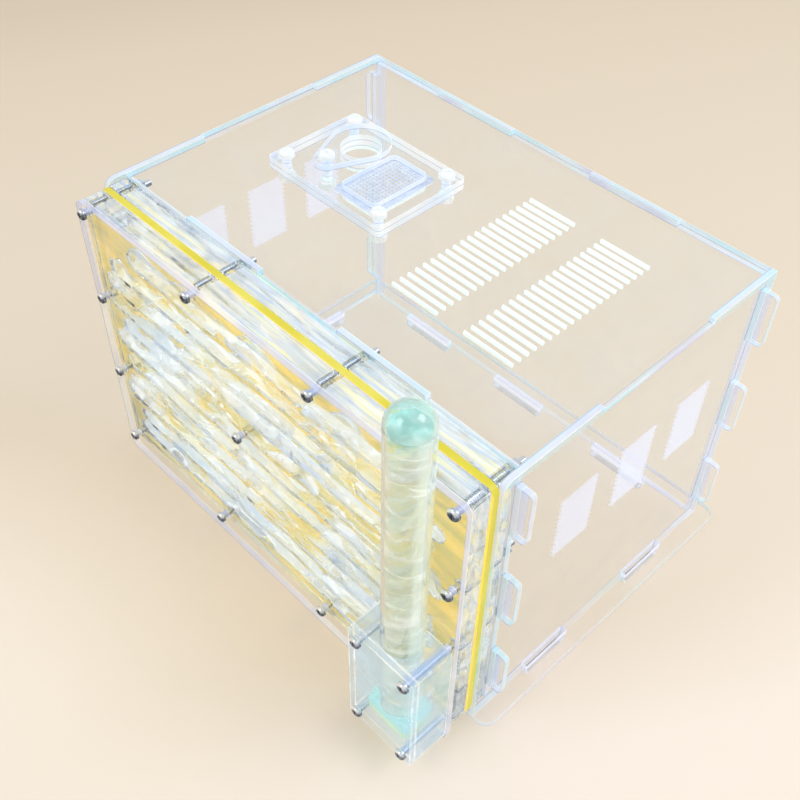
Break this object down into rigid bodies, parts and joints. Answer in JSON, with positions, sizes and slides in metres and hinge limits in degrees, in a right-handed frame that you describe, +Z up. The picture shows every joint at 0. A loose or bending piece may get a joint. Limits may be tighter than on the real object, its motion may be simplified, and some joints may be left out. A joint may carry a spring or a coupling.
{
  "type": "ant habitat",
  "caption": "Clear acrylic ant habitat: a vented box with a feeding hatch in its lid, a carved gallery nest bolted to its front and a test tube water tower.",
  "frame": {"origin": "on the surface that the feet stand on, under the middle of the whole object's outline", "axes": "+X to the right seen from the nest's front, +Y to the back, +Z up"},
  "size_m": [0.256, 0.2136, 0.2093],
  "materials": {
    "panel_acrylic": "clear cast sheet with pale blue cut edges",
    "hatch_acrylic": "clear cast sheet",
    "mesh_steel": "fine woven mesh",
    "white_nylon": "moulded",
    "cover_acrylic": "clear cast sheet",
    "gallery_acrylic": "clear, carved and polished",
    "yellow_acrylic": "amber yellow, see-through tint",
    "screw_steel": "bright",
    "tank_acrylic": "clear, cut and glued",
    "wet_sponge": "fine open cells, wet",
    "tube_glass": "thin clear wall with a milky haze"
  },
  "bodies": {
    "habitat": {"base_plate": "panel_acrylic", "left_side_panel": "panel_acrylic", "right_side_panel": "panel_acrylic", "front_panel": "panel_acrylic", "back_panel": "panel_acrylic", "nest_cover": "cover_acrylic", "nest_front_body": "gallery_acrylic", "nest_rear_body": "gallery_acrylic", "divider_sheet": "yellow_acrylic", "nest_screws": "screw_steel", "nest_nuts": "screw_steel", "tank_screws": "screw_steel", "tank_nuts": "screw_steel", "tank_front_plate": "tank_acrylic", "tank_body": "tank_acrylic", "tank_sponge": "wet_sponge"},
    "lid": {"top_lid": "panel_acrylic", "hatch_lower_plate": "hatch_acrylic", "hatch_upper_plate": "hatch_acrylic", "hatch_mesh": "mesh_steel", "hatch_screws": "white_nylon", "hatch_nuts": "white_nylon", "feed_door_screw": "white_nylon", "feed_door_nut": "white_nylon"},
    "feed_door": {"feed_door": "hatch_acrylic"},
    "water_tube": {"water_tube": "tube_glass"}
  },
  "joints": [
    {"name": "lid_lift", "type": "slide", "parent": "habitat", "child": "lid", "axis": [0, 0, 1], "range_m": [0, 0.08]},
    {"name": "feed_door_swing", "type": "hinge", "parent": "lid", "child": "feed_door", "pos_m": [-0.0555, 0.00835, 0.17315], "axis": [0, 0, 1], "range_deg": [-185, 8]},
    {"name": "tube_lift", "type": "slide", "parent": "habitat", "child": "water_tube", "axis": [0, 0, 1], "range_m": [0, 0.06]}
  ]
}
